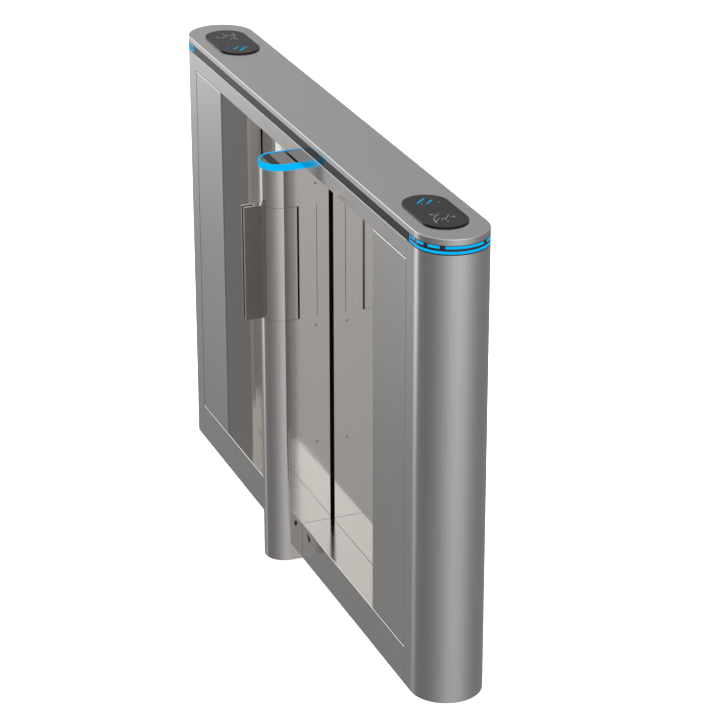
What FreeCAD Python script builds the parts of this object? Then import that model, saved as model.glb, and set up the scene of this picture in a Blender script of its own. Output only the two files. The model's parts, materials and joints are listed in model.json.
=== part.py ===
import FreeCAD, Part
import math
import os

# Swing-gate turnstile pedestal, millimetres.
# X runs across the cabinet and -X is the passage side with the wing post.
# Y runs along the cabinet, +Z is up, and the origin is the centre of the footprint on the floor.

# Overall sizes
cabinet_width = 152.0
cabinet_length = 1500.0
cabinet_height = 1000.0

# Levels, counted down from the top and up from the floor
cover_height = 12.5
band_height = 20.0
rail_height = 36.5
skirt_height = 85.0

# Sheet metal
sheet = 2.0
nose_sheet = 1.5
shell_gap = 0.3
cover_gap = 0.3
seam = 0.8
cover_edge_radius = 1.4
bend_radius = 1.0

# Lay-out along the cabinet
end_flat = 37.0
door_width = 172.0
band_end_overlap = 11.0

# Bent nose that closes each end of a recess, measured from the recess corner
nose_face_depth = 39.0
nose_face_reach = 70.0
nose_tip_depth = 8.5
nose_tip_reach = 2.4
nose_gap = 2.3
spine_thickness = 8.0
spine_skin = 1.5
spine_gap = 0.5
spine_tuck = 20.0
spine_foot_height = 25.0
floor_tuck = 10.0

# Doors and their pivots
door_groove = 2.4
hinge_groove = 2.0
pivot_inset = 3.0
pivot_radius = 1.5
pivot_clearance = 0.05
pivot_lug = 10.0
pivot_lug_height = 20.0
door_return = 10.0
door_return_end_gap = 14.0
door_edge_chamfer = 0.8

# Base frame
base_thickness = 6.0
anchor_radius = 6.5
anchor_half_x = 45.0
anchor_inner_setback = 137.0
anchor_outer_reach = 53.0
cable_radius = 25.0
cable_setback = 72.0

# Inner frame
tube = 25.0
tube_wall = 2.0
upright_x = 52.5
upright_offset = 15.0
beam_half_width = 25.0
beam_height = 30.0
rail_lip = 14.0
equipment_plate_half = 38.0
equipment_low = 260.0
equipment_top_gap = 131.0

# Top frame, glass and light bands
glass = 3.0
ring_wall = 3.0
ring_gap = 0.5
light_depth = 1.2
light_height = 5.2
light_low = 2.7
light_pitch = 10.4
light_turn_up = 3.0
light_start = 3.0
dash_angles = ((-31.0, 31.0), (39.5, 58.5), (66.5, 81.5))
dash_flat_angle = 88.0
dash_gap = 4.0
sensor_radius = 6.0
sensor_length = 22.0
sensor_clearance = 0.4
sensor_places = (110.0, 260.0, 400.0)

# Reader pads
pad_width = 94.0
pad_length = 188.0
pad_height = 3.0
pad_setback = 153.6
pad_edge_radius = 1.0
boss_inset = 9.0
boss_depth = 4.3
boss_clearance = 0.3
module_width = 68.0
module_length = 150.0
module_height = 11.0

# Wing post
post_radius = 43.5
post_axis_offset = 28.0
post_gap = 5.2
post_wall = 2.0
post_slip = 0.3
skirt_slip = 0.7
ring_under_rail = 2.2
ring_height = 14.0
ring_thickness = 3.5
cap_drop = 1.0
cap_plate = 4.0
cap_wall = 2.0
cap_skirt = 24.0
cap_slip = 0.1
upper_post = 82.8
post_base_thickness = 8.0
post_anchor_spacing = 44.0
post_anchor_radius = 5.5
channel_depth = 38.0
channel_top_gap = 30.0
post_screw_back = 30.0
post_screw_levels = (35.8, 358.8, 635.8)
post_screw_hole = 2.8
post_screw_head = 2.6
post_screw_shank = 1.5
post_screw_sink = 0.7
post_screw_slip = 0.05
side_slit_back = 27.0
side_slit_width = 1.2

# Rotating collar and wing clamp
collar_height = 256.0
collar_wall = 3.0
collar_flat = 23.0
collar_gap = 0.6
swing_clearance = 0.6
hub_thickness = 8.0
hub_inset = 6.0
clamp_reach = 39.5
clamp_thickness = 20.0
slot_width = 8.0
slot_depth = 23.5
clamp_edge = 0.8
gasket = 1.0
gasket_short = 1.0
clamp_screw_radius = 3.0
clamp_screw_slip = 0.05
clamp_screw_end = 12.0
clamp_screw_inset = 30.0
top_screw_radius = 3.0
top_screw_height = 3.0

# Drive in the post
shaft_radius = 10.0
running_fit = 0.05
bearing_radius = 21.0
bearing_height = 10.0
bearing_offset = 6.0
shaft_below = 191.0
shaft_above = 48.0
motor_drop = 30.0
motor_height = 100.0
motor_radius = 38.0
motor_bore = 26.0
motor_air_gap = 0.5
motor_flange = 6.0
brake_drop = 148.0
brake_disc_radius = 34.0
brake_disc_height = 6.0
brake_air_gap = 2.0
brake_height = 25.0
brake_radius = 36.0
brake_bore_clearance = 2.0
encoder_rise = 30.0
encoder_radius = 22.0
encoder_thickness = 2.0
encoder_slot = 4.0
encoder_block = 14.0
encoder_half_width = 8.0
stop_arm_length = 34.0
stop_arm_width = 10.0
stop_height = 4.0
stop_clearance = 1.0
bumper_radius = 4.0
bumper_circle = 28.0
bumper_angle = 110.0

# Key release in the skirt
lock_beside_post = 43.5
lock_height = 65.0
keyhole_radius = 5.6
keyhole_width = 5.0
keyhole_reach = 12.5
keyhole_lean = 35.0
lock_barrel_radius = 7.0
lock_body_radius = 10.0
lock_length = 20.0
key_slot_width = 3.0
key_slot_height = 9.0
key_slot_depth = 8.0

# Equipment
board_size = (66.0, 30.0, 170.0)
board_drop = 110.0
supply_size = (72.0, 42.0, 190.0)
supply_drop = 190.0
speaker_radius = 26.0
speaker_depth = 24.0
speaker_drop = 60.0

# Levels and places that follow from the sizes above
half_width = cabinet_width / 2
half_length = cabinet_length / 2
end_centre = half_length - half_width
seam_y = end_centre - end_flat
recess_y = seam_y - door_width
cover_bottom = cabinet_height - cover_height
band_bottom = cover_bottom - band_height
rail_bottom = band_bottom - rail_height
band_end_y = seam_y + band_end_overlap
equipment_high = rail_bottom - equipment_top_gap
spine_face = spine_thickness / 2
post_x = -half_width - post_axis_offset
post_back = -spine_face - post_gap
ring_top = rail_bottom - ring_under_rail
ring_bottom = ring_top - ring_height
collar_top = ring_bottom - upper_post
collar_bottom = collar_top - collar_height
collar_back = post_x + collar_flat
clamp_front = post_x - post_radius - clamp_reach
clamp_root = clamp_front + slot_depth
inner_half = half_width - sheet - shell_gap
door_y0 = recess_y
door_y1 = seam_y - hinge_groove
door_z0 = skirt_height + door_groove
door_z1 = rail_bottom - door_groove
pivot_x = half_width - pivot_inset
pivot_reach = door_groove + sheet
pivot_y = door_y1 - pivot_inset


def box(x0, x1, y0, y1, z0, z1):
    """Box between two corners, given in any order."""
    low = FreeCAD.Vector(min(x0, x1), min(y0, y1), min(z0, z1))
    return Part.makeBox(abs(x1 - x0), abs(y1 - y0), abs(z1 - z0), low)


def prism(points, z0, z1):
    """Upright prism over a closed outline of (x, y) points."""
    corners = [FreeCAD.Vector(x, y, z0) for x, y in points]
    face = Part.Face(Part.makePolygon(corners + corners[:1]))
    return face.extrude(FreeCAD.Vector(0, 0, z1 - z0))


def cylinder(radius, x, y, z0, z1):
    """Upright cylinder."""
    return Part.makeCylinder(radius, z1 - z0, FreeCAD.Vector(x, y, z0))


def cross_cylinder(radius, x0, x1, y, z):
    """Cylinder along X."""
    return Part.makeCylinder(radius, abs(x1 - x0), FreeCAD.Vector(min(x0, x1), y, z), FreeCAD.Vector(1, 0, 0))


def side_cylinder(radius, y0, y1, x, z):
    """Cylinder along Y."""
    return Part.makeCylinder(radius, abs(y1 - y0), FreeCAD.Vector(x, min(y0, y1), z), FreeCAD.Vector(0, 1, 0))


def line(x0, y0, x1, y1, z):
    """Straight edge at height z."""
    return Part.LineSegment(FreeCAD.Vector(x0, y0, z), FreeCAD.Vector(x1, y1, z)).toShape()


def arc(start, middle, end, z):
    """Arc edge through three (x, y) points at height z."""
    points = [FreeCAD.Vector(x, y, z) for x, y in (start, middle, end)]
    return Part.Arc(*points).toShape()


def stadium(half, reach, z0, z1, centre_y=0.0):
    """Prism over a long round-ended outline: half its width, and half its length."""
    y = reach - half
    edges = [
        line(half, centre_y - y, half, centre_y + y, z0),
        arc((half, centre_y + y), (0, centre_y + reach), (-half, centre_y + y), z0),
        line(-half, centre_y + y, -half, centre_y - y, z0),
        arc((-half, centre_y - y), (0, centre_y - reach), (half, centre_y - y), z0),
    ]
    return Part.Face(Part.Wire(edges)).extrude(FreeCAD.Vector(0, 0, z1 - z0))


def stadium_ring(outer_inset, inner_inset, z0, z1):
    """Wall that follows the cabinet outline between two insets."""
    outer = stadium(half_width - outer_inset, half_length - outer_inset, z0, z1)
    return outer.cut(stadium(half_width - inner_inset, half_length - inner_inset, z0, z1))


def bullet(radius, back, z0, z1):
    """Prism of the post outline: a half-round front about the hinge axis and flat sides to the back."""
    edges = [
        arc((post_x, radius), (post_x - radius, 0), (post_x, -radius), z0),
        line(post_x, -radius, back, -radius, z0),
        line(back, -radius, back, radius, z0),
        line(back, radius, post_x, radius, z0),
    ]
    return Part.Face(Part.Wire(edges)).extrude(FreeCAD.Vector(0, 0, z1 - z0))


def at_end(sign, y):
    """Box that keeps everything beyond y at one end of the cabinet."""
    reach = 2 * cabinet_length
    return box(-reach, reach, sign * y, sign * reach, -reach, reach)


def flip(shape, side, end):
    """Copy a shape modelled at -X and +Y to the side and end asked for."""
    origin = FreeCAD.Vector(0, 0, 0)
    if side > 0:
        shape = shape.mirror(origin, FreeCAD.Vector(1, 0, 0))
    if end < 0:
        shape = shape.mirror(origin, FreeCAD.Vector(0, 1, 0))
    return shape


def vertical_edges(shape, accept):
    """Upright edges whose (x, y) place is accepted."""
    found = []
    for edge in shape.Edges:
        ends = [vertex.Point for vertex in edge.Vertexes]
        if len(ends) != 2 or abs(ends[0].x - ends[1].x) + abs(ends[0].y - ends[1].y) > 1e-6:
            continue
        if accept(ends[0].x, ends[0].y):
            found.append(edge)
    return found


# ---------------------------------------------------------------- base and inner frame

def base_frame():
    """Floor plate with a post notch, cable holes, and anchor holes at the ends and behind the doors."""
    plate = stadium(inner_half, half_length - sheet - shell_gap, 0, base_thickness)
    post_notch = post_radius + skirt_slip
    plate = plate.cut(box(-half_width, post_back + skirt_slip, -post_notch, post_notch, 0, base_thickness))
    for y in (-seam_y - anchor_outer_reach, -seam_y + anchor_inner_setback,
              seam_y - anchor_inner_setback, seam_y + anchor_outer_reach):
        for x in (-anchor_half_x, anchor_half_x):
            plate = plate.cut(cylinder(anchor_radius, x, y, 0, base_thickness))
    for y in (cable_setback - seam_y, seam_y - cable_setback):
        plate = plate.cut(cylinder(cable_radius, 0, y, 0, base_thickness))
    return plate


def spine_feet():
    """Flat bars welded to the floor plate on both sides of the spine panel."""
    y = recess_y - spine_tuck
    inner = spine_face
    outer = spine_face + sheet
    post_side = post_radius + skirt_slip
    top = base_thickness + spine_foot_height
    return Part.makeCompound([
        box(-outer, -inner, -y, -post_side, base_thickness, top),
        box(-outer, -inner, post_side, y, base_thickness, top),
        box(inner, outer, -y, y, base_thickness, top),
    ])


def end_frame(end):
    """Two uprights, the cross tube that carries the beam, and the equipment plate."""
    y0 = seam_y + upright_offset - tube / 2
    y1 = y0 + tube
    cross_low = rail_bottom + sheet - tube
    outer = []
    inner = []
    for x in (-upright_x, upright_x):
        outer.append(box(x - tube / 2, x + tube / 2, y0, y1, base_thickness, cross_low + tube))
        inner.append(box(x - tube / 2 + tube_wall, x + tube / 2 - tube_wall,
                         y0 + tube_wall, y1 - tube_wall, base_thickness, cross_low))
    outer.append(box(-upright_x, upright_x, y0, y1, cross_low, cross_low + tube))
    inner.append(box(-upright_x, upright_x, y0 + tube_wall, y1 - tube_wall,
                     cross_low + tube_wall, cross_low + tube - tube_wall))
    outer.append(box(-equipment_plate_half - tube, equipment_plate_half + tube, y0 - tube_wall, y0,
                     equipment_low, equipment_high))
    frame = outer[0].fuse(outer[1:]).cut(inner[0].fuse(inner[1:]))
    return flip(frame.removeSplitter(), -1, end)


def header_beam():
    low = rail_bottom + sheet
    reach = seam_y + upright_offset + tube / 2
    wall = tube_wall
    beam = box(-beam_half_width, beam_half_width, -reach, reach, low, low + beam_height)
    hollow = box(wall - beam_half_width, beam_half_width - wall, -reach, reach,
                 low + wall, low + beam_height - wall)
    return beam.cut(hollow)


# ---------------------------------------------------------------- outer shells

def end_shell(end):
    return stadium_ring(0, sheet, 0, band_bottom).common(at_end(end, seam_y))


def pivot_hole(side, end, z0, z1):
    return flip(cylinder(pivot_radius + pivot_clearance, -pivot_x, pivot_y, z0, z1), side, end)


def soften_bend(shape, level):
    """Round the outer edge of a bent sheet at -X and the level given."""
    bends = [edge for edge in shape.Edges
             if all(abs(vertex.Point.x + half_width) + abs(vertex.Point.z - level) < 1e-6
                    for vertex in edge.Vertexes)]
    return shape.makeFillet(bend_radius, bends)


def skirt_half(side, end, inner_y):
    """Outer wall of the skirt with the recess floor bent inwards from its top."""
    wall = box(-half_width, sheet - half_width, inner_y, seam_y - seam / 2, 0, skirt_height)
    floor_low = skirt_height - sheet
    floor = box(-half_width, -spine_face - spine_gap, inner_y, recess_y + floor_tuck, floor_low, skirt_height)
    lip = box(-half_width, rail_lip - half_width, inner_y, seam_y - seam / 2, floor_low, skirt_height)
    half = soften_bend(wall.fuse([floor, lip]).removeSplitter(), skirt_height)
    return flip(half, side, end).cut(pivot_hole(side, end, floor_low, skirt_height))


def skirt_left(end):
    half = skirt_half(-1, end, post_radius + skirt_slip).removeSplitter()
    if end < 0:
        half = half.cut(keyhole())
    return half


def skirt_right():
    return skirt_half(1, 1, 0).fuse(skirt_half(1, -1, 0)).removeSplitter()


def header_rail(side):
    """Channel over the recess: outer wall, ceiling and a narrow upper lip under the glass."""
    y = seam_y - seam / 2
    wall = box(-half_width, sheet - half_width, -y, y, rail_bottom, band_bottom)
    ceiling = box(-half_width, -spine_gap, -y, y, rail_bottom, rail_bottom + sheet)
    lip = box(-half_width, rail_lip - half_width, -y, y, band_bottom - sheet, band_bottom)
    rail = soften_bend(wall.fuse([ceiling, lip]).removeSplitter(), band_bottom)
    for end in (-1, 1):
        rail = rail.cut(pivot_hole(-1, end, rail_bottom, rail_bottom + sheet))
    return flip(rail, side, 1)


def nose_outline():
    """Plan of the outer faces of a recess nose at -X and +Y, from the door edge to the spine."""
    corner = (-half_width, recess_y)
    face_end = (corner[0] + nose_face_depth, recess_y - nose_face_reach)
    tip = (face_end[0] + nose_tip_depth, face_end[1] - nose_tip_reach)
    slope = nose_face_reach / nose_face_depth
    start_x = sheet + shell_gap - half_width
    start = (start_x, recess_y - slope * (start_x + half_width))
    back = (-spine_face - nose_gap, tip[1])
    return [start, face_end, tip, back]


def inner_offset(points, distance):
    """The same run of corners moved sideways by a wall thickness, with mitred corners."""
    normals = []
    for (x0, y0), (x1, y1) in zip(points, points[1:]):
        length = math.hypot(x1 - x0, y1 - y0)
        normals.append(((y0 - y1) / length, (x1 - x0) / length))
    moved = []
    for index, (x, y) in enumerate(points):
        before = normals[max(index - 1, 0)]
        after = normals[min(index, len(normals) - 1)]
        share = distance / (1 + before[0] * after[0] + before[1] * after[1])
        moved.append((x + share * (before[0] + after[0]), y + share * (before[1] + after[1])))
    return moved


def recess_nose(side, end):
    """Bent panel that closes one end of a recess."""
    outline = nose_outline()
    inner = inner_offset(outline, nose_sheet)
    inner[-1] = (outline[-1][0], inner[-1][1])
    panel = prism(outline + inner[::-1], skirt_height, rail_bottom)
    bends = outline[1:3]
    edges = vertical_edges(panel, lambda x, y: any(math.hypot(x - bx, y - by) < 1e-3 for bx, by in bends))
    panel = panel.makeFillet(nose_sheet, edges)
    return flip(panel, side, end)


def spine_panel():
    """Folded panel with two skins, closed at the top and the ends and open downwards."""
    y = recess_y - spine_tuck
    hollow = spine_face - spine_skin
    panel = box(-spine_face, spine_face, -y, y, base_thickness, rail_bottom)
    return panel.cut(box(-hollow, hollow, spine_skin - y, y - spine_skin,
                         base_thickness, rail_bottom - spine_skin))


def door(side, end):
    """Flush door with a bevelled free edge, top and bottom returns and pivot lugs with pins."""
    slope = nose_face_reach / nose_face_depth
    outer = -half_width
    inner = sheet - half_width
    panel = prism([(outer, door_y0), (inner, door_y0 - slope * sheet), (inner, door_y1), (outer, door_y1)],
                  door_z0, door_z1)
    outer_edges = [edge for edge in panel.Edges
                   if all(abs(vertex.Point.x - outer) < 1e-6 for vertex in edge.Vertexes)]
    panel = panel.makeChamfer(door_edge_chamfer, outer_edges)
    pieces = []
    return_y = (door_y0 + door_return_end_gap, door_y1 - pivot_lug)
    for z in (door_z0, door_z1 - nose_sheet):
        pieces.append(box(inner, inner + door_return, return_y[0], return_y[1], z, z + nose_sheet))
    for z, direction in ((door_z0, 1), (door_z1, -1)):
        lug_top = z + direction * pivot_lug_height
        pieces.append(box(inner, inner + pivot_lug, door_y1 - pivot_lug, door_y1, z, lug_top))
        pin_end = z - direction * pivot_reach
        pieces.append(cylinder(pivot_radius, -pivot_x, pivot_y, min(z, pin_end), max(z, pin_end)))
    return flip(panel.fuse(pieces), side, end)


# ---------------------------------------------------------------- top frame, glass and light

def sensor_spots():
    return [(side, end * place) for side in (-1, 1) for end in (-1, 1) for place in sensor_places]


def top_frame():
    """Upright ring under the cover, with a window behind the glass for each infrared sensor."""
    outer = glass + ring_gap
    ring = stadium_ring(outer, outer + ring_wall, band_bottom, cover_bottom - cover_gap)
    middle = band_bottom + band_height / 2
    for side, y in sensor_spots():
        ring = ring.cut(cross_cylinder(sensor_radius + sensor_clearance,
                                       side * (half_width - outer - ring_wall), side * half_width, y, middle))
    return ring


def infrared_sensors():
    middle = band_bottom + band_height / 2
    face = half_width - glass - shell_gap
    return Part.makeCompound([
        cross_cylinder(sensor_radius, side * face, side * (face - sensor_length), y, middle)
        for side, y in sensor_spots()])


def glass_band(side):
    y = band_end_y - seam / 2
    top = cover_bottom - cover_gap
    return box(side * half_width, side * (half_width - glass), -y, y, band_bottom, top)


def end_wedge(end, angle0, angle1):
    """Upright wedge about the centre of a round end; angles are from the long axis."""
    reach = 2 * cabinet_width
    steps = 8
    points = [(0.0, end * end_centre)]
    for index in range(steps + 1):
        angle = math.radians(angle0 + (angle1 - angle0) * index / steps)
        points.append((reach * math.sin(angle), end * (end_centre + reach * math.cos(angle))))
    return prism(points, 0, cabinet_height)


def light_lines(end):
    """Blue inlays: a lower line that turns up at both ends, and a dashed upper line between them."""
    start = band_end_y + light_start
    low = band_bottom + light_low
    lower = stadium_ring(0, light_depth, low, low + light_height).common(at_end(end, start))
    high = low + light_pitch
    upper = stadium_ring(0, light_depth, high, high + light_height).common(at_end(end, start))
    turn_up = stadium_ring(0, light_depth, low, high + light_height).common(at_end(end, start))
    turn_up = turn_up.cut(at_end(end, start + light_turn_up))
    lines = [lower.fuse(turn_up).removeSplitter()]
    for first, last in dash_angles:
        lines.append(upper.common(end_wedge(end, first, last)))
        if first > 0:
            lines.append(upper.common(end_wedge(end, -last, -first)))
    slope = math.radians(dash_flat_angle)
    past = half_width * math.cos(slope)
    for side in (-1, 1):
        keep = box(0, side * cabinet_width, end * (start + light_turn_up + dash_gap),
                   end * (end_centre + past), 0, cabinet_height)
        lines.append(upper.common(keep))
    return Part.makeCompound([solid for shape in lines for solid in shape.Solids])


def light_band(end):
    top = cover_bottom - cover_gap
    band = stadium_ring(0, glass, band_bottom, top).common(at_end(end, band_end_y + seam / 2))
    return band.cut(light_lines(end))


def pad_boss(clearance, z0, z1, end):
    half = pad_width / 2 - boss_inset + clearance
    reach = pad_length / 2 - boss_inset + clearance
    return stadium(half, reach, z0, z1, end * (half_length - pad_setback))


def top_cover():
    """Shallow lid with a softened upper edge and a hole under each reader pad."""
    lid = stadium(half_width, half_length, cover_bottom, cabinet_height)
    rim = [edge for edge in lid.Edges
           if all(abs(vertex.Point.z - cabinet_height) < 1e-6 for vertex in edge.Vertexes)]
    lid = lid.makeFillet(cover_edge_radius, rim)
    lid = lid.cut(stadium(half_width - sheet, half_length - sheet, cover_bottom, cabinet_height - sheet))
    for end in (-1, 1):
        lid = lid.cut(pad_boss(boss_clearance, cover_bottom, cabinet_height, end))
    return lid


def reader_pad(end):
    top = cabinet_height + pad_height
    plate = stadium(pad_width / 2, pad_length / 2, cabinet_height, top, end * (half_length - pad_setback))
    rim = [edge for edge in plate.Edges if all(abs(vertex.Point.z - top) < 1e-6 for vertex in edge.Vertexes)]
    plate = plate.makeFillet(pad_edge_radius, rim)
    return plate.fuse(pad_boss(0, cabinet_height - boss_depth, cabinet_height, end)).removeSplitter()


def reader_modules():
    top = cabinet_height - boss_depth
    centre = half_length - pad_setback
    return Part.makeCompound([
        box(-module_width / 2, module_width / 2, end * centre - module_length / 2,
            end * centre + module_length / 2, top - module_height, top)
        for end in (-1, 1)])


# ---------------------------------------------------------------- wing post

def post_window():
    """Opening for the collar: the swept circle of its rear corners sets how far back it reaches."""
    swing = math.hypot(collar_flat, post_radius) + swing_clearance
    inner = post_radius - post_wall
    back = post_x + math.sqrt(swing ** 2 - inner ** 2)
    return box(post_x - 2 * post_radius, back, -2 * post_radius, 2 * post_radius,
               collar_bottom - collar_gap, collar_top + collar_gap)


def post_screw_spots():
    return [(side, post_back - post_screw_back, ring_bottom - level)
            for side in (-1, 1) for level in post_screw_levels]


def post_housing():
    """Post shell with the opening for the collar, a fine slit down each side and screw holes."""
    shell = bullet(post_radius, post_back, 0, ring_bottom)
    shell = shell.cut(bullet(post_radius - post_wall, post_back, 0, ring_bottom))
    shell = shell.cut(post_window())
    slit_x = post_back - side_slit_back
    for side in (-1, 1):
        shell = shell.cut(box(slit_x - side_slit_width, slit_x,
                              side * (post_radius - post_wall), side * post_radius,
                              collar_bottom, collar_top))
    for side, x, z in post_screw_spots():
        shell = shell.cut(side_cylinder(post_screw_hole, 0, side * post_radius, x, z))
    return shell


def post_base_plate():
    plate = bullet(post_radius - post_wall - post_slip, post_back, 0, post_base_thickness)
    for side in (-1, 1):
        plate = plate.cut(cylinder(post_anchor_radius, post_x, side * post_anchor_spacing / 2,
                                   0, post_base_thickness))
    return plate


def post_mount_channel():
    outer = post_radius - post_wall - post_slip
    front = post_back - post_wall - channel_depth
    top = ring_bottom - channel_top_gap + sheet
    channel = box(front, post_back, -outer, outer, post_base_thickness, top)
    inner = outer - post_wall
    channel = channel.cut(box(front, post_back - post_wall, -inner, inner, post_base_thickness, top))
    for side, x, z in post_screw_spots():
        if z < top:
            channel = channel.cut(side_cylinder(post_screw_shank + post_screw_slip, 0, side * post_radius,
                                                x, z))
    return channel


def post_screws():
    screws = []
    seat = post_radius - post_wall
    for side, x, z in post_screw_spots():
        under_head = side * (seat - post_slip)
        head = side_cylinder(post_screw_head, under_head, side * (post_radius - post_screw_sink), x, z)
        shank = side_cylinder(post_screw_shank, side * (seat - 3 * post_wall), under_head, x, z)
        screws.append(head.fuse(shank))
    return Part.makeCompound(screws)


def post_spacer():
    half = post_radius - 2 * post_wall - post_slip
    return box(post_back, -spine_face, -half, half, skirt_height, ring_bottom)


def post_light_ring():
    ring = bullet(post_radius, post_back, ring_bottom, ring_top)
    return ring.cut(bullet(post_radius - ring_thickness, post_back, ring_bottom, ring_top))


def post_cap():
    radius = post_radius - ring_thickness - cap_slip
    top = ring_top - cap_drop
    cap = bullet(radius, post_back, top - cap_skirt, top)
    return cap.cut(bullet(radius - cap_wall, post_back - cap_wall, top - cap_skirt, top - cap_plate))


def bearing_levels():
    return (collar_bottom - bearing_offset - bearing_height, collar_top + bearing_offset)


def plate_back():
    return post_back - post_wall - channel_depth - post_slip


def bearing_plates():
    """Two cross plates that hold the bearings, below and above the collar."""
    plates = []
    for z in bearing_levels():
        plate = bullet(post_radius - post_wall - post_slip, plate_back(), z, z + bearing_height)
        plates.append(plate.cut(cylinder(bearing_radius, post_x, 0, z, z + bearing_height)))
    return Part.makeCompound(plates)


def shaft_bearings():
    bearings = []
    for z in bearing_levels():
        ring = cylinder(bearing_radius, post_x, 0, z, z + bearing_height)
        bearings.append(ring.cut(cylinder(shaft_radius + running_fit, post_x, 0, z, z + bearing_height)))
    return Part.makeCompound(bearings)


def motor_levels():
    top = bearing_levels()[0] - motor_drop
    return top - motor_height, top


def motor_stator():
    low, top = motor_levels()
    body = cylinder(motor_radius, post_x, 0, low, top)
    flange = bullet(post_radius - post_wall - post_slip, plate_back(), top, top + motor_flange)
    return body.fuse(flange).cut(cylinder(motor_bore, post_x, 0, low, top + motor_flange))


def motor_rotor():
    low, top = motor_levels()
    rotor = cylinder(motor_bore - motor_air_gap, post_x, 0, low, top)
    return rotor.cut(cylinder(shaft_radius, post_x, 0, low, top))


def brake_disc():
    low = collar_bottom - brake_drop - brake_disc_height
    disc = cylinder(brake_disc_radius, post_x, 0, low, low + brake_disc_height)
    return disc.cut(cylinder(shaft_radius, post_x, 0, low, low + brake_disc_height))


def brake_coil():
    top = collar_bottom - brake_drop - brake_disc_height - brake_air_gap
    low = top - brake_height
    body = cylinder(brake_radius, post_x, 0, low, top)
    flange = bullet(post_radius - post_wall - post_slip, plate_back(), low, low + motor_flange)
    return body.fuse(flange).cut(cylinder(shaft_radius + brake_bore_clearance, post_x, 0, low, top))


def main_shaft():
    """Shaft with the arm that meets the rubber stops at each end of the swing."""
    shaft = cylinder(shaft_radius, post_x, 0, collar_bottom - shaft_below, collar_top + shaft_above)
    low = bearing_levels()[0] + bearing_height + stop_clearance
    arm = box(post_x, post_x + stop_arm_length, -stop_arm_width / 2, stop_arm_width / 2,
              low, low + stop_height)
    return shaft.fuse(arm)


def stop_bumpers():
    low = bearing_levels()[0] + bearing_height
    bumpers = []
    for side in (-1, 1):
        angle = math.radians(side * bumper_angle)
        bumpers.append(cylinder(bumper_radius, post_x + bumper_circle * math.cos(angle),
                                bumper_circle * math.sin(angle), low, low + stop_height + stop_clearance))
    return Part.makeCompound(bumpers)


def encoder_disc():
    low = collar_top + encoder_rise
    disc = cylinder(encoder_radius, post_x, 0, low, low + encoder_thickness)
    return disc.cut(cylinder(shaft_radius, post_x, 0, low, low + encoder_thickness))


def encoder_sensor():
    """Forked reader that stands on the upper bearing plate and straddles the disc."""
    middle = collar_top + encoder_rise + encoder_thickness / 2
    foot = bearing_levels()[1] + bearing_height
    inner = post_x + encoder_radius - encoder_slot
    block = box(inner, inner + encoder_block, -encoder_half_width, encoder_half_width,
                foot, middle + 2 * encoder_slot)
    slot = box(inner, post_x + encoder_radius + encoder_slot / 2, -encoder_half_width, encoder_half_width,
               middle - encoder_slot / 2, middle + encoder_slot / 2)
    return block.cut(slot)


# ---------------------------------------------------------------- rotating collar and wing clamp

def collar():
    outer = bullet(post_radius, collar_back, collar_bottom, collar_top)
    return outer.cut(bullet(post_radius - collar_wall, collar_back, collar_bottom, collar_top))


def collar_hubs():
    hubs = []
    for z in (collar_bottom + hub_inset, collar_top - hub_inset - hub_thickness):
        hub = bullet(post_radius - collar_wall, collar_back - collar_wall, z, z + hub_thickness)
        hubs.append(hub.cut(cylinder(shaft_radius, post_x, 0, z, z + hub_thickness)))
    return Part.makeCompound(hubs)


def clamp_screw_levels():
    middle = (collar_bottom + collar_top) / 2
    reach = collar_height / 2 - clamp_screw_inset
    return (middle - reach, middle, middle + reach)


def clamp_screw_x():
    return clamp_front + clamp_screw_end


def wing_clamp():
    """Two cheeks with a slot between them that takes the edge of a wing panel."""
    half = clamp_thickness / 2
    block = box(clamp_front, post_x, -half, half, collar_bottom, collar_top)
    front_edges = vertical_edges(block, lambda x, y: abs(x - clamp_front) < 1e-6)
    block = block.makeFillet(clamp_edge, front_edges)
    block = block.cut(cylinder(post_radius, post_x, 0, collar_bottom, collar_top))
    block = block.cut(box(clamp_front, clamp_root, -slot_width / 2, slot_width / 2,
                          collar_bottom, collar_top))
    for z in clamp_screw_levels():
        block = block.cut(side_cylinder(clamp_screw_radius + clamp_screw_slip, 0, half, clamp_screw_x(), z))
    return block


def slot_gasket():
    """Rubber channel lining the slot."""
    half = slot_width / 2
    low = collar_bottom + gasket_short
    high = collar_top - gasket_short
    liner = box(clamp_front + gasket_short, clamp_root, -half, half, low, high)
    return liner.cut(box(clamp_front, clamp_root - gasket, gasket - half, half - gasket, low, high))


def clamp_screws():
    half = clamp_thickness / 2
    screws = [side_cylinder(clamp_screw_radius, slot_width / 2, half - clamp_edge, clamp_screw_x(), z)
              for z in clamp_screw_levels()]
    head_x = (clamp_root + post_x - post_radius) / 2
    screws.append(cylinder(top_screw_radius, head_x, 0, collar_top, collar_top + top_screw_height))
    return Part.makeCompound(screws)


# ---------------------------------------------------------------- key release and equipment

def lock_y():
    return -(post_radius + lock_beside_post)


def keyhole():
    """Round hole with a slot that leans up towards the post, through the skirt."""
    inner = sheet - half_width
    slot = box(-half_width, inner, lock_y(), lock_y() + keyhole_reach,
               lock_height - keyhole_width / 2, lock_height + keyhole_width / 2)
    slot.rotate(FreeCAD.Vector(0, lock_y(), lock_height), FreeCAD.Vector(1, 0, 0), keyhole_lean)
    return slot.fuse(cross_cylinder(keyhole_radius, -half_width, inner, lock_y(), lock_height))


def key_lock_body():
    front = sheet - half_width
    body = cross_cylinder(lock_body_radius, front, front + lock_length, lock_y(), lock_height)
    return body.cut(cross_cylinder(lock_barrel_radius + running_fit, front, front + lock_length,
                                   lock_y(), lock_height))


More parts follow.
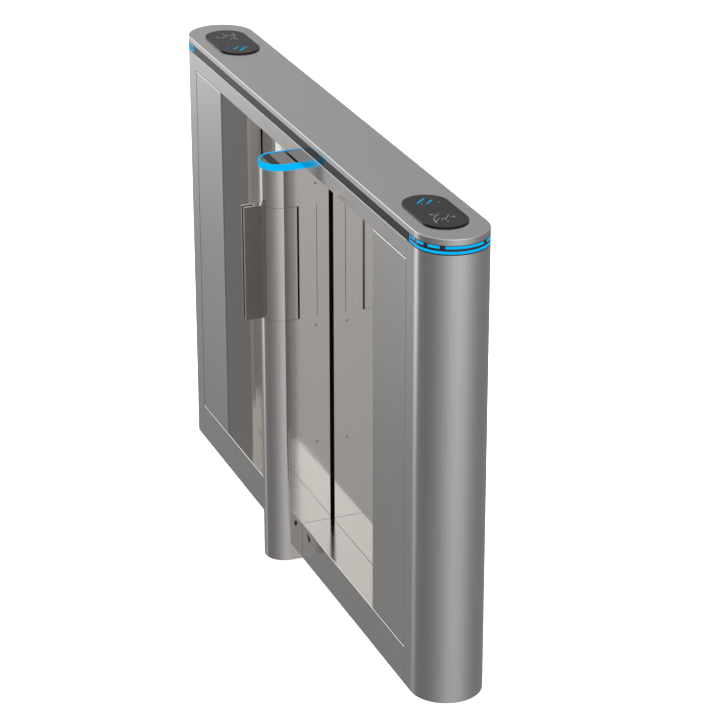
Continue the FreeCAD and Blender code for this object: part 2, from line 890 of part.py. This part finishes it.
def key_lock_barrel():
    """Barrel behind the keyhole that a key turns."""
    front = sheet - half_width + shell_gap
    barrel = cross_cylinder(lock_barrel_radius, front, front + lock_length, lock_y(), lock_height)
    slot = box(front, front + key_slot_depth, lock_y() - key_slot_width / 2, lock_y() + key_slot_width / 2,
               lock_height - key_slot_height / 2, lock_height + key_slot_height / 2)
    return barrel.cut(slot)


def equipment_box(size, drop, end):
    """Box on the door side of an equipment plate, with its top so far below the plate's top."""
    face = seam_y + upright_offset - tube / 2 - tube_wall
    width, depth, height = size
    top = equipment_high - drop
    return box(-width / 2, width / 2, end * face, end * (face - depth), top - height, top)


def controller_board():
    return equipment_box(board_size, board_drop, -1)


def power_supply():
    return equipment_box(supply_size, supply_drop, 1)


def speaker():
    face = seam_y + upright_offset - tube / 2 - tube_wall
    return side_cylinder(speaker_radius, -face, speaker_depth - face, 0, equipment_high - speaker_drop)


def all_parts():
    """Every node name with its shape."""
    parts = {
        "base_frame": base_frame(),
        "spine_feet": spine_feet(),
        "header_beam": header_beam(),
        "skirt_right": skirt_right(),
        "spine_panel": spine_panel(),
        "top_frame": top_frame(),
        "infrared_sensors": infrared_sensors(),
        "top_cover": top_cover(),
        "reader_modules": reader_modules(),
        "post_housing": post_housing(),
        "post_base_plate": post_base_plate(),
        "post_mount_channel": post_mount_channel(),
        "post_screws": post_screws(),
        "post_spacer": post_spacer(),
        "post_light_ring": post_light_ring(),
        "post_cap": post_cap(),
        "bearing_plates": bearing_plates(),
        "shaft_bearings": shaft_bearings(),
        "motor_stator": motor_stator(),
        "motor_rotor": motor_rotor(),
        "brake_coil": brake_coil(),
        "brake_disc": brake_disc(),
        "encoder_sensor": encoder_sensor(),
        "encoder_disc": encoder_disc(),
        "main_shaft": main_shaft(),
        "stop_bumpers": stop_bumpers(),
        "collar": collar(),
        "collar_hubs": collar_hubs(),
        "wing_clamp": wing_clamp(),
        "slot_gasket": slot_gasket(),
        "clamp_screws": clamp_screws(),
        "key_lock_body": key_lock_body(),
        "key_lock_barrel": key_lock_barrel(),
        "controller_board": controller_board(),
        "power_supply": power_supply(),
        "speaker": speaker(),
    }
    for end_name, end in (("near", -1), ("far", 1)):
        parts["end_shell_" + end_name] = end_shell(end)
        parts["end_frame_" + end_name] = end_frame(end)
        parts["skirt_left_" + end_name] = skirt_left(end)
        parts["light_band_" + end_name] = light_band(end)
        parts["light_lines_" + end_name] = light_lines(end)
        parts["reader_pad_" + end_name] = reader_pad(end)
        for side_name, side in (("left", -1), ("right", 1)):
            parts["recess_nose_" + side_name + "_" + end_name] = recess_nose(side, end)
            parts["door_" + side_name + "_" + end_name] = door(side, end)
    for side_name, side in (("left", -1), ("right", 1)):
        parts["header_rail_" + side_name] = header_rail(side)
        parts["glass_band_" + side_name] = glass_band(side)
    return parts


os.makedirs("parts", exist_ok=True)
for node, shape in all_parts().items():
    shape.exportStep("parts/" + node + ".step")
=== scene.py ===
import json
import math

import bmesh
import bpy
from mathutils import Matrix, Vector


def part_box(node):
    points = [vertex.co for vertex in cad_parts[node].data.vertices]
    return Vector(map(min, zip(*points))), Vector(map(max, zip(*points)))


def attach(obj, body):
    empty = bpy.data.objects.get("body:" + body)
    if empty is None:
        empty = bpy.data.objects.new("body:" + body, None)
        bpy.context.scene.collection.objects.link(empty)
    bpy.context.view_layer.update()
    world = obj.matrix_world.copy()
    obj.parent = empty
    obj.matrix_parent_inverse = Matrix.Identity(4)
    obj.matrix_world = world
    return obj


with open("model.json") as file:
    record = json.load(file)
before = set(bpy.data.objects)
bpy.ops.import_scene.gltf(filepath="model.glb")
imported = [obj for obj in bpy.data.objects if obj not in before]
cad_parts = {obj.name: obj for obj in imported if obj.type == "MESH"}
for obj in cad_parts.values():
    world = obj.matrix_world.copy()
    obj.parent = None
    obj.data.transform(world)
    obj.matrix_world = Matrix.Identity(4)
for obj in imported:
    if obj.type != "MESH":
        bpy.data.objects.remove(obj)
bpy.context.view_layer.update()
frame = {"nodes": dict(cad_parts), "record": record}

nodes = frame["nodes"]

MILLIMETRE = 0.001


# ---------------------------------------------------------------- node helpers

# Nearly all values of a noise texture lie between these two.
NOISE_LOW = 0.25
NOISE_HIGH = 0.75


def shade(grey):
    """Opaque grey."""
    return (grey, grey, grey, 1.0)


def opaque(colour, gain=1.0, lift=0.0):
    """Colour with full alpha, brightened or dimmed."""
    return [min(channel * gain + lift, 1.0) for channel in colour] + [1.0]


class Graph:
    """Short-hand for building a node tree."""

    def __init__(self, tree):
        self.tree = tree
        tree.nodes.clear()

    def add(self, kind, **settings):
        """New node with its settings."""
        node = self.tree.nodes.new(kind)
        for name, value in settings.items():
            setattr(node, name, value)
        return node

    def link(self, source, target):
        """Wire from an output to an input."""
        self.tree.links.new(source, target)

    def feed(self, value, socket):
        """Link an output, or set a plain value."""
        if isinstance(value, bpy.types.NodeSocket):
            self.link(value, socket)
        else:
            socket.default_value = value

    def math(self, operation, first, second=0.0, third=0.0, clamp=False):
        """One step of arithmetic."""
        node = self.add("ShaderNodeMath", operation=operation, use_clamp=clamp)
        for value, socket in zip((first, second, third), node.inputs):
            self.feed(value, socket)
        return node.outputs[0]

    def ramp(self, value, stops):
        """Value through a few (position, grey) stops."""
        node = self.add("ShaderNodeValToRGB")
        node.color_ramp.interpolation = "LINEAR"
        elements = node.color_ramp.elements
        while len(elements) > 1:
            elements.remove(elements[-1])
        elements[0].position = stops[0][0]
        elements[0].color = shade(stops[0][1])
        for position, grey in stops[1:]:
            elements.new(position).color = shade(grey)
        self.link(value, node.inputs[0])
        return node.outputs[0]

    def noise(self, scales, detail=4.0):
        """Noise in object space, with its own scale along each axis."""
        coordinates = self.add("ShaderNodeTexCoord")
        mapping = self.add("ShaderNodeMapping")
        mapping.inputs["Scale"].default_value = scales
        self.link(coordinates.outputs["Object"], mapping.inputs["Vector"])
        node = self.add("ShaderNodeTexNoise")
        self.link(mapping.outputs["Vector"], node.inputs["Vector"])
        node.inputs["Scale"].default_value = 1.0
        node.inputs["Detail"].default_value = detail
        node.inputs["Roughness"].default_value = 0.55
        return node.outputs["Fac"]

    def spread(self, value, low, high):
        """Map noise to a range."""
        node = self.add("ShaderNodeMapRange")
        self.link(value, node.inputs["Value"])
        node.inputs["From Min"].default_value = NOISE_LOW
        node.inputs["From Max"].default_value = NOISE_HIGH
        node.inputs["To Min"].default_value = low
        node.inputs["To Max"].default_value = high
        return node.outputs["Result"]

    def around(self, value, middle, reach):
        """Map noise to a range about a middle value."""
        return self.spread(value, middle - reach, middle + reach)

    def tint(self, factor, first, second):
        """Mix of two colours."""
        node = self.add("ShaderNodeMix", data_type="RGBA")
        self.feed(factor, node.inputs["Factor"])
        colours = [socket for socket in node.inputs if socket.type == "RGBA"]
        self.feed(first, colours[0])
        self.feed(second, colours[1])
        return [socket for socket in node.outputs if socket.type == "RGBA"][0]

    def facing_sideways(self):
        """1 on upright faces, 0 on level ones."""
        geometry = self.add("ShaderNodeNewGeometry")
        split = self.add("ShaderNodeSeparateXYZ")
        self.link(geometry.outputs["Normal"], split.inputs[0])
        return self.math("SUBTRACT", 1.0, self.math("ABSOLUTE", split.outputs["Z"]), clamp=True)

    def bump(self, height, strength):
        """Normal of a fine relief."""
        node = self.add("ShaderNodeBump")
        node.inputs["Strength"].default_value = strength
        node.inputs["Distance"].default_value = RELIEF
        self.link(height, node.inputs["Height"])
        return node.outputs["Normal"]


def new_material(name):
    """Material with a lone surface shader."""
    material = bpy.data.materials.new(name)
    material.use_nodes = True
    graph = Graph(material.node_tree)
    output = graph.add("ShaderNodeOutputMaterial")
    surface = graph.add("ShaderNodeBsdfPrincipled")
    graph.link(surface.outputs[0], output.inputs[0])
    return material, graph, surface


# ---------------------------------------------------------------- materials

RELIEF = 0.1 * MILLIMETRE

# Noise scales along X, Y and Z, per metre.
GRAIN_UP = (900.0, 900.0, 9.0)
GRAIN_ALONG = (900.0, 7.0, 900.0)
CLOUDS = (3.0, 3.0, 2.0)
WIPE_MARKS = (30.0, 30.0, 30.0)
MOULD_TEXTURE = (1500.0, 1500.0, 1500.0)
LAMPS = (60.0, 60.0, 60.0)

STEEL_UNEVEN = 0.02
GLOSS_UNEVEN = 0.05
MOULD_UNEVEN = 0.05
MOULD_DEPTH = 0.25


def steel(name, colour, roughness, grain=GRAIN_UP, grain_depth=0.035, streak=0.04, rim=None):
    """Brushed or polished stainless with fine grain and slow cloudiness.

    A rim is the (colour, roughness) of upright faces, where they are finished differently.
    """
    material, graph, surface = new_material(name)
    fine = graph.noise(grain)
    cloud = graph.noise(CLOUDS, detail=2.0)
    base = graph.tint(graph.spread(fine, 0.0, 1.0), opaque(colour, 1 - streak), opaque(colour, 1 + streak))
    cloudy = graph.around(cloud, roughness, STEEL_UNEVEN)
    if rim:
        rim_colour, rim_roughness = rim
        upright = graph.facing_sideways()
        base = graph.tint(upright, base, opaque(rim_colour))
        rough = graph.math("MULTIPLY_ADD", upright, rim_roughness - roughness, cloudy)
    else:
        rough = graph.math("ADD", graph.around(fine, 0.0, STEEL_UNEVEN), cloudy)
    graph.link(base, surface.inputs["Base Color"])
    graph.link(rough, surface.inputs["Roughness"])
    graph.link(graph.bump(fine, grain_depth), surface.inputs["Normal"])
    surface.inputs["Metallic"].default_value = 1.0
    return material


def glossy_dark(name, colour, roughness, ior=1.5):
    """Black or tinted gloss: clear surface with faint wipe marks."""
    material, graph, surface = new_material(name)
    marks = graph.noise(WIPE_MARKS, detail=6.0)
    base = graph.tint(graph.spread(marks, 0.0, 1.0), opaque(colour), opaque(colour, 1.25, 0.002))
    graph.link(base, surface.inputs["Base Color"])
    graph.link(graph.spread(marks, roughness, roughness + GLOSS_UNEVEN), surface.inputs["Roughness"])
    surface.inputs["IOR"].default_value = ior
    return material


def moulded(name, colour, roughness, ior=1.5):
    """Moulded or coated surface with a fine texture."""
    material, graph, surface = new_material(name)
    fine = graph.noise(MOULD_TEXTURE)
    base = graph.tint(graph.spread(fine, 0.0, 1.0), opaque(colour), opaque(colour, 1.2, 0.004))
    graph.link(base, surface.inputs["Base Color"])
    graph.link(graph.around(fine, roughness, MOULD_UNEVEN), surface.inputs["Roughness"])
    graph.link(graph.bump(fine, MOULD_DEPTH), surface.inputs["Normal"])
    surface.inputs["IOR"].default_value = ior
    return material


def lit(name, colour, strength):
    """Lit diffuser: even glow that is a touch uneven between its lamps."""
    material, graph, surface = new_material(name)
    lamps = graph.noise(LAMPS, detail=1.0)
    glow = graph.tint(graph.spread(lamps, 0.0, 1.0), opaque(colour, 0.97), opaque(colour, 1.04))
    graph.link(glow, surface.inputs["Emission Color"])
    surface.inputs["Emission Strength"].default_value = strength
    surface.inputs["Base Color"].default_value = shade(0.0)
    surface.inputs["Roughness"].default_value = 0.3
    surface.inputs["Specular IOR Level"].default_value = 0.0
    return material


LED_BLUE = (0.0, 0.49, 1.0)

materials = {
    "outer_steel": steel("outer_steel", (0.60, 0.59, 0.58), 0.14),
    "recess_steel": steel("recess_steel", (0.58, 0.56, 0.545), 0.14),
    "mirror_steel": steel("mirror_steel", (0.88, 0.855, 0.84), 0.05, grain_depth=0.01, streak=0.01),
    "cover_steel": steel("cover_steel", (0.55, 0.545, 0.545), 0.2, grain=GRAIN_ALONG,
                         rim=((0.54, 0.53, 0.525), 0.25)),
    "post_steel": steel("post_steel", (0.62, 0.60, 0.585), 0.08, grain_depth=0.02),
    "clamp_steel": steel("clamp_steel", (0.44, 0.415, 0.40), 0.18, grain_depth=0.01),
    "frame_steel": moulded("frame_steel", (0.20, 0.21, 0.22), 0.5),
    "tinted_glass": glossy_dark("tinted_glass", (0.003, 0.0035, 0.004), 0.03, ior=1.3),
    "black_gloss": glossy_dark("black_gloss", (0.006, 0.006, 0.008), 0.04),
    "blue_light": lit("blue_light", LED_BLUE, 1.0),
    "reader_plastic": glossy_dark("reader_plastic", (0.005, 0.005, 0.0055), 0.16, ior=1.2),
    "black_plastic": moulded("black_plastic", (0.012, 0.012, 0.012), 0.55),
    "board_green": moulded("board_green", (0.02, 0.16, 0.07), 0.4),
    "supply_aluminium": steel("supply_aluminium", (0.75, 0.75, 0.76), 0.35),
    "shaft_steel": steel("shaft_steel", (0.5, 0.5, 0.5), 0.25),
    "screw_steel": steel("screw_steel", (0.35, 0.34, 0.33), 0.3),
    "motor_iron": moulded("motor_iron", (0.05, 0.05, 0.055), 0.5),
    "rubber": moulded("rubber", (0.01, 0.01, 0.01), 0.7),
}

# Nodes that look unlike the rest of their slot.
NODE_FINISH = {
    "post_cap": glossy_dark("cap_glass", (0.003, 0.003, 0.003), 0.03, ior=1.35),
    # The post spacer is made blacker and duller than its slot: painted shade for the dark gap beside the
    # post.
    "post_spacer": moulded("spacer_painted_shade", (0.001, 0.001, 0.001), 0.8, ior=1.15),
}


def dress():
    """Give every CAD node the material of its slot, or its own finish."""
    for part in frame["record"]["subparts"]:
        name = part["node"]
        mesh = nodes[name].data
        mesh.materials.clear()
        mesh.materials.append(NODE_FINISH.get(name, materials[part["material_slot"]]))


# ---------------------------------------------------------------- added pieces

def settle(mesh, name, material, body):
    """Turn a mesh under construction into a piece that moves with a body."""
    data = bpy.data.meshes.new(name)
    mesh.to_mesh(data)
    mesh.free()
    data.materials.append(material)
    piece = bpy.data.objects.new(name, data)
    bpy.context.scene.collection.objects.link(piece)
    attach(piece, body)


def settle_in_cabinet(mesh, name, slot):
    """Settle a piece of the cabinet in the material of its slot."""
    settle(mesh, name, materials[slot], "cabinet")


# ---------------------------------------------------------------- signs on the reader pads

PRINT_HEIGHT = 0.12 * MILLIMETRE
CAPSULE_STEPS = 8
# Rings of a raised stroke: share of its half width, share of its height.
CAPSULE_RINGS = ((1.0, 0.0), (1.0, 0.5), (0.75, 1.0))

# Strokes as (x0, y0, x1, y1, half width) in millimetres from the pad's centre.
# +Y points to the cabinet's middle.
BLUE_STROKES = (
    (-17.5, 49.0, -11.0, 55.0, 1.3),
    (-9.0, 57.0, 4.5, 69.0, 2.1),
    (0.5, 42.0, 4.5, 45.8, 1.1),
    (6.5, 47.7, 15.5, 56.2, 1.8),
    (-11.3, 42.0, -10.0, 43.2, 1.2),
    (25.5, 42.0, 26.7, 42.6, 1.4),
)
GREY_STROKES = (
    (-19.0, -18.0, -10.0, -15.5, 0.55),
    (-19.0, -18.0, -16.0, -13.5, 0.55),
    (-19.0, -18.0, -14.5, -20.0, 0.55),
    (-1.0, -17.5, -11.5, -29.5, 0.55),
    (-11.5, -29.5, -17.0, -36.5, 0.6),
    (-17.0, -36.5, -22.0, -46.0, 0.7),
    (-22.0, -46.0, -23.5, -64.0, 0.7),
    (-9.5, -42.5, -21.5, -55.5, 0.6),
    (-12.0, -24.0, -15.0, -27.0, 0.55),
    (-9.0, -52.5, 1.0, -40.5, 0.55),
    (-2.0, -52.5, 15.5, -30.0, 0.55),
    (0.2, -60.5, 1.2, -61.8, 1.5),
    (14.5, -41.0, 22.5, -44.0, 0.6),
    (22.5, -44.0, 21.5, -38.5, 0.6),
    (22.5, -44.0, 18.0, -46.5, 0.6),
)


def capsule(mesh, stroke, centre, turn, level):
    """Add one raised round-ended stroke, a little narrower on top, to a mesh."""
    x0, y0, x1, y1, half = [value * MILLIMETRE for value in stroke]
    heading = math.atan2(y1 - y0, x1 - x0)
    outline = []
    for x, y, start in ((x1, y1, heading - math.pi / 2), (x0, y0, heading + math.pi / 2)):
        for index in range(CAPSULE_STEPS + 1):
            angle = start + math.pi * index / CAPSULE_STEPS
            outline.append((x, y, half * math.cos(angle), half * math.sin(angle)))
    rings = []
    for share, rise in CAPSULE_RINGS:
        ring = []
        for x, y, across, along in outline:
            place = (centre[0] + turn * (x + share * across), centre[1] + turn * (y + share * along))
            ring.append(mesh.verts.new((*place, level + rise * PRINT_HEIGHT)))
        rings.append(ring)
    count = len(outline)
    for low, high in zip(rings, rings[1:]):
        for index in range(count):
            following = (index + 1) % count
            mesh.faces.new((low[index], low[following], high[following], high[index]))
    mesh.faces.new(rings[-1])
    mesh.faces.new(rings[0][::-1])


def sign(name, strokes, material, end):
    """One colour of the printed signs of a pad; the far pad is turned by half a turn."""
    low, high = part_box("reader_pad_" + end)
    centre = ((low[0] + high[0]) / 2, (low[1] + high[1]) / 2)
    turn = 1 if end == "near" else -1
    mesh = bmesh.new()
    for stroke in strokes:
        capsule(mesh, stroke, centre, turn, high[2])
    settle(mesh, name + "_" + end, material, "top_lid")


def pad_signs():
    """Lit blue card sign and a grey hand-and-arrow sign on both pads."""
    grey = moulded("printed_grey", (0.12, 0.12, 0.125), 0.6)
    blue = lit("printed_blue", LED_BLUE, 0.85)
    for end in ("near", "far"):
        sign("card_sign", BLUE_STROKES, blue, end)
        sign("hand_sign", GREY_STROKES, grey, end)


# ---------------------------------------------------------------- details of the inner equipment

DRUM_SIDES = 28


def block(mesh, low, high, bevel):
    """Add a box with bevelled edges between two corners."""
    size = [top - bottom for bottom, top in zip(low, high)]
    middle = [(top + bottom) / 2 for bottom, top in zip(low, high)]
    place = Matrix.Translation(middle) @ Matrix.Diagonal(size + [1.0])
    made = bmesh.ops.create_cube(mesh, size=1.0, matrix=place)
    edges = list({edge for corner in made["verts"] for edge in corner.link_edges})
    bmesh.ops.bevel(mesh, geom=edges, offset=bevel, segments=2, profile=0.5, affect="EDGES")


def drum(mesh, centre, radius, length, top_share):
    """Add a drum along Y, with its far end narrowed to a share of its radius."""
    place = Matrix.Translation(centre) @ Matrix.Rotation(-math.pi / 2, 4, "X")
    bmesh.ops.create_cone(mesh, cap_ends=True, segments=DRUM_SIDES, radius1=radius,
                          radius2=radius * top_share, depth=length, matrix=place)


FIN_COUNT = 9
FIN_THICKNESS = 1.6 * MILLIMETRE
FIN_DEPTH = 7.0 * MILLIMETRE
FIN_BEVEL = FIN_THICKNESS / 5
TERMINAL_COUNT = 6
TERMINAL_SIZE = 9.0 * MILLIMETRE
TERMINAL_HALF = TERMINAL_SIZE * 0.47
TERMINAL_BEVEL = 0.6 * MILLIMETRE
TERMINAL_SCREW_RADIUS = TERMINAL_HALF * 0.6
TERMINAL_SCREW_LENGTH = TERMINAL_SIZE / 6
TERMINAL_SCREW_TOP = 0.8


def supply_fins():
    """Row of cooling fins on the upper part of the power supply."""
    low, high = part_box("power_supply")
    bottom = low[2] + 3 * TERMINAL_SIZE
    top = high[2] - TERMINAL_SIZE
    pitch = (high[0] - low[0] - FIN_THICKNESS) / (FIN_COUNT - 1)
    mesh = bmesh.new()
    for index in range(FIN_COUNT):
        x = low[0] + pitch * index
        block(mesh, (x, low[1] - FIN_DEPTH, bottom), (x + FIN_THICKNESS, low[1], top), FIN_BEVEL)
    settle_in_cabinet(mesh, "supply_fins", "supply_aluminium")


def supply_terminals():
    """Screw-terminal strip on the lower part of the power supply."""
    low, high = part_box("power_supply")
    front = low[1] - TERMINAL_SIZE
    middle = (low[0] + high[0]) / 2
    z = low[2] + 1.5 * TERMINAL_SIZE
    strip = bmesh.new()
    screws = bmesh.new()
    for index in range(TERMINAL_COUNT):
        x = middle + TERMINAL_SIZE * (index - (TERMINAL_COUNT - 1) / 2)
        corner = (x - TERMINAL_HALF, front, z - TERMINAL_HALF)
        block(strip, corner, (x + TERMINAL_HALF, low[1], z + TERMINAL_HALF), TERMINAL_BEVEL)
        drum(screws, (x, front, z), TERMINAL_SCREW_RADIUS, TERMINAL_SCREW_LENGTH, TERMINAL_SCREW_TOP)
    settle_in_cabinet(strip, "supply_terminals", "black_plastic")
    settle_in_cabinet(screws, "supply_terminal_screws", "screw_steel")


# Boxes on the board: centre across and up from its middle, half width, half height, depth, in millimetres.
CHIPS = (
    (-8, 30, 12, 12, 2.2),
    (14, -6, 7, 9, 2.0),
    (-16, -22, 8, 5, 2.0),
    (12, 48, 9, 4, 1.8),
)
CONNECTORS = (
    (-20, 68, 9, 5, 11),
    (2, 68, 9, 5, 11),
    (22, 68, 7, 5, 11),
    (-14, -66, 15, 5, 11),
    (16, -66, 10, 5, 11),
)
CHIP_BEVEL = 0.4 * MILLIMETRE
# Cans on the board: centre across and up from its middle, radius, depth, in millimetres.
CAPACITORS = (
    (20, 22, 4.5, 12),
    (20, 10, 4.5, 12),
    (-22, 4, 6.0, 14),
    (4, -38, 5.0, 13),
)
CAPACITOR_TOP = 0.92


def board_details():
    """Chips, connectors and capacitors on the controller board."""
    low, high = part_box("controller_board")
    x = (low[0] + high[0]) / 2
    z = (low[2] + high[2]) / 2
    dark = bmesh.new()
    for across, up, half, rise, depth in CHIPS + CONNECTORS:
        front = high[1] + depth * MILLIMETRE
        first = (x + (across - half) * MILLIMETRE, high[1], z + (up - rise) * MILLIMETRE)
        second = (x + (across + half) * MILLIMETRE, front, z + (up + rise) * MILLIMETRE)
        block(dark, first, second, CHIP_BEVEL)
    settle_in_cabinet(dark, "board_chips", "black_plastic")
    cans = bmesh.new()
    for across, up, radius, depth in CAPACITORS:
        centre = (x + across * MILLIMETRE, high[1] + depth * MILLIMETRE / 2, z + up * MILLIMETRE)
        drum(cans, centre, radius * MILLIMETRE, depth * MILLIMETRE, CAPACITOR_TOP)
    settle_in_cabinet(cans, "board_capacitors", "supply_aluminium")


# Steps of the speaker's front: share of its radius, depth in millimetres, share of the radius at the tip.
SPEAKER_STEPS = ((0.94, 1.6, 0.9), (0.72, 3.0, 0.7), (0.3, 5.0, 0.6))


def speaker_details():
    """Cone and surround on the front of the speaker."""
    low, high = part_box("speaker")
    x = (low[0] + high[0]) / 2
    z = (low[2] + high[2]) / 2
    radius = (high[0] - low[0]) / 2
    mesh = bmesh.new()
    for share, depth, top_share in SPEAKER_STEPS:
        drum(mesh, (x, high[1] + depth * MILLIMETRE / 2, z), radius * share, depth * MILLIMETRE, top_share)
    settle_in_cabinet(mesh, "speaker_cone", "rubber")


# ---------------------------------------------------------------- liner of the keyhole, black as painted shade

SKIRT_SHEET = 2.0 * MILLIMETRE
KEYHOLE_Y = -87.0 * MILLIMETRE
KEYHOLE_Z = 65.0 * MILLIMETRE
KEYHOLE_RADIUS = 5.6 * MILLIMETRE
KEYHOLE_HALF_SLOT = 2.5 * MILLIMETRE
KEYHOLE_REACH = 12.5 * MILLIMETRE
KEYHOLE_LEAN = math.radians(35.0)
LINER_WALL = 0.3 * MILLIMETRE
LINER_SLIP = 0.02 * MILLIMETRE
LINER_FLANGE = 1.0 * MILLIMETRE
LINER_RELIEF = 0.25 * MILLIMETRE
LINER_STEPS = 24


def keyhole_outline(inset):
    """Outline of the keyhole, drawn inwards, as (along, up) points about its round part."""
    radius = KEYHOLE_RADIUS - inset
    half = KEYHOLE_HALF_SLOT - inset
    reach = KEYHOLE_REACH - inset
    opening = math.asin(half / radius)
    points = [(reach, -half), (reach, half)]
    for index in range(LINER_STEPS + 1):
        angle = opening + 2 * (math.pi - opening) * index / LINER_STEPS
        points.append((radius * math.cos(angle), radius * math.sin(angle)))
    lean_x = math.cos(KEYHOLE_LEAN)
    lean_y = math.sin(KEYHOLE_LEAN)
    return [(along * lean_x - up * lean_y, along * lean_y + up * lean_x) for along, up in points]


def keyhole_shade_liner():
    """Black plastic liner with a narrow flange in the keyhole of the skirt: painted shade that darkens the
    hole's walls and edge.
    """
    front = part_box("skirt_left_near")[0][0]
    back = front + SKIRT_SHEET
    # Section of the liner as (inset from the hole's edge, x); the flange lies on the skirt.
    section = (
        (-LINER_FLANGE, front - LINER_RELIEF),
        (-LINER_FLANGE, front - LINER_SLIP),
        (LINER_SLIP, front - LINER_SLIP),
        (LINER_SLIP, back),
        (LINER_WALL, back),
        (LINER_WALL, front - LINER_RELIEF),
    )
    mesh = bmesh.new()
    rings = []
    for inset, x in section:
        outline = keyhole_outline(inset)
        rings.append([mesh.verts.new((x, KEYHOLE_Y + along, KEYHOLE_Z + up)) for along, up in outline])
    count = len(rings[0])
    for ring, following in zip(rings, rings[1:] + rings[:1]):
        for index in range(count):
            after = (index + 1) % count
            mesh.faces.new((ring[index], ring[after], following[after], following[index]))
    bmesh.ops.recalc_face_normals(mesh, faces=mesh.faces)
    settle_in_cabinet(mesh, "keyhole_shade_liner", "black_plastic")


# ---------------------------------------------------------------- studio

# Brightness of the surround by elevation in degrees.
SURROUND = ((-90, 0.26), (-22, 0.27), (0, 0.38), (24, 0.42), (60, 0.75), (90, 0.95))
# The side of the surround that is dimmed: azimuth and width in degrees, share of its light taken away.
DIM_SIDE = (-84, 30, 0.15)
# Soft boxes: azimuth and width in degrees, gain, brightness by elevation in degrees.
# The first is behind the near end, the other three overlap beyond the far end.
SOFT_BOXES = (
    (178, 45, 1.65,
     ((-60, 0.1), (-28, 0.2), (-22, 0.27), (0, 0.75), (20, 1.1), (26, 1.1), (34, 0.45), (60, 0.4))),
    (-18, 26, 1.0,
     ((-26, 0.0), (-21, 0.09), (-19, 0.22), (-17, 0.52), (-12, 0.80), (60, 0.7))),
    (-38, 10, 1.0,
     ((-32, 0.1), (-25, 0.32), (-22, 0.85), (60, 0.8))),
    (-25, 15, 1.0,
     ((-8, 0.0), (10, 1.0), (35, 1.0), (60, 0.0))),
)
# Keeps the azimuth defined straight above and below.
LEAST_FLAT = 0.001


def world_light():
    """Grey studio by direction: soft boxes at both ends of the cabinet over a dim surround."""
    world = bpy.data.worlds.new("studio")
    bpy.context.scene.world = world
    world.use_nodes = True
    graph = Graph(world.node_tree)
    output = graph.add("ShaderNodeOutputWorld")
    background = graph.add("ShaderNodeBackground")
    graph.link(background.outputs[0], output.inputs[0])
    coordinates = graph.add("ShaderNodeTexCoord")
    split = graph.add("ShaderNodeSeparateXYZ")
    graph.link(coordinates.outputs["Generated"], split.inputs[0])
    x, y, z = split.outputs
    height = graph.math("MULTIPLY_ADD", graph.math("ARCSINE", z), 1 / math.pi, 0.5)
    flat = graph.math("SQRT", graph.math("SUBTRACT", 1.0, graph.math("MULTIPLY", z, z), clamp=True))
    flat = graph.math("MAXIMUM", flat, LEAST_FLAT)

    def lobe(azimuth, width):
        """Soft bump about a compass direction, counted from +Y towards +X, in degrees."""
        turn = math.radians(azimuth)
        along = graph.math("MULTIPLY_ADD", x, math.sin(turn), graph.math("MULTIPLY", y, math.cos(turn)))
        off = graph.math("ARCCOSINE", graph.math("DIVIDE", along, flat))
        share = graph.math("DIVIDE", off, math.radians(width))
        square = graph.math("MULTIPLY", share, share)
        return graph.math("EXPONENT", graph.math("MULTIPLY", square, -1.0))

    def by_height(stops):
        """Brightness by elevation."""
        return graph.ramp(height, [((degrees + 90) / 180, grey) for degrees, grey in stops])

    azimuth, width, share = DIM_SIDE
    kept = graph.math("SUBTRACT", 1.0, graph.math("MULTIPLY", lobe(azimuth, width), share))
    total = graph.math("MULTIPLY", by_height(SURROUND), kept)
    for azimuth, width, gain, stops in SOFT_BOXES:
        light = graph.math("MULTIPLY", lobe(azimuth, width), by_height(stops))
        total = graph.math("MULTIPLY_ADD", light, gain, total)
    graph.link(total, background.inputs["Color"])
    background.inputs["Strength"].default_value = 1.0


PANEL_PLACE = (-0.5, -0.5, 6.5)
PANEL_SIZE = 6.0
PANEL_POWER = 800.0


def key_light():
    """Large soft panel overhead that whitens the floor."""
    data = bpy.data.lights.new("overhead", "AREA")
    data.shape = "DISK"
    data.size = PANEL_SIZE
    data.energy = PANEL_POWER
    light = bpy.data.objects.new("overhead", data)
    light.location = PANEL_PLACE
    light.visible_glossy = False
    bpy.context.scene.collection.objects.link(light)


FLOOR_SIZE = 60.0
FLOOR_LEVEL = -0.5 * MILLIMETRE


def floor():
    """Plain pale floor, kept out of the metal's reflections so that the studio shows there."""
    bpy.ops.mesh.primitive_plane_add(size=FLOOR_SIZE, location=(0, 0, FLOOR_LEVEL))
    plane = bpy.context.object
    plane.name = "floor"
    material, _, surface = new_material("floor_paint")
    surface.inputs["Base Color"].default_value = shade(0.95)
    surface.inputs["Roughness"].default_value = 0.9
    surface.inputs["Specular IOR Level"].default_value = 0.0
    plane.data.materials.append(material)
    plane.visible_glossy = False


CAMERA_PLACE = (-1.9519, -5.1723, 2.8494)
CAMERA_DOWN = math.radians(23.681)
CAMERA_TURN = math.radians(21.566)
CAMERA_LENS = 137.95
CAMERA_SENSOR = 36.0
CAMERA_SHIFT = (-0.0080, 0.0143)
CAMERA_RANGE = (0.1, 200.0)


def camera():
    """Long lens from above the near end, on the passage side."""
    data = bpy.data.cameras.new("camera")
    data.lens = CAMERA_LENS
    data.sensor_width = CAMERA_SENSOR
    data.shift_x, data.shift_y = CAMERA_SHIFT
    data.clip_start, data.clip_end = CAMERA_RANGE
    eye = bpy.data.objects.new("camera", data)
    eye.location = CAMERA_PLACE
    eye.rotation_euler = (math.pi / 2 - CAMERA_DOWN, 0.0, -CAMERA_TURN)
    bpy.context.scene.collection.objects.link(eye)
    bpy.context.scene.camera = eye


bpy.context.scene.view_settings.view_transform = "Standard"
camera()
world_light()
key_light()
floor()
dress()
pad_signs()
supply_fins()
supply_terminals()
board_details()
speaker_details()
keyhole_shade_liner()
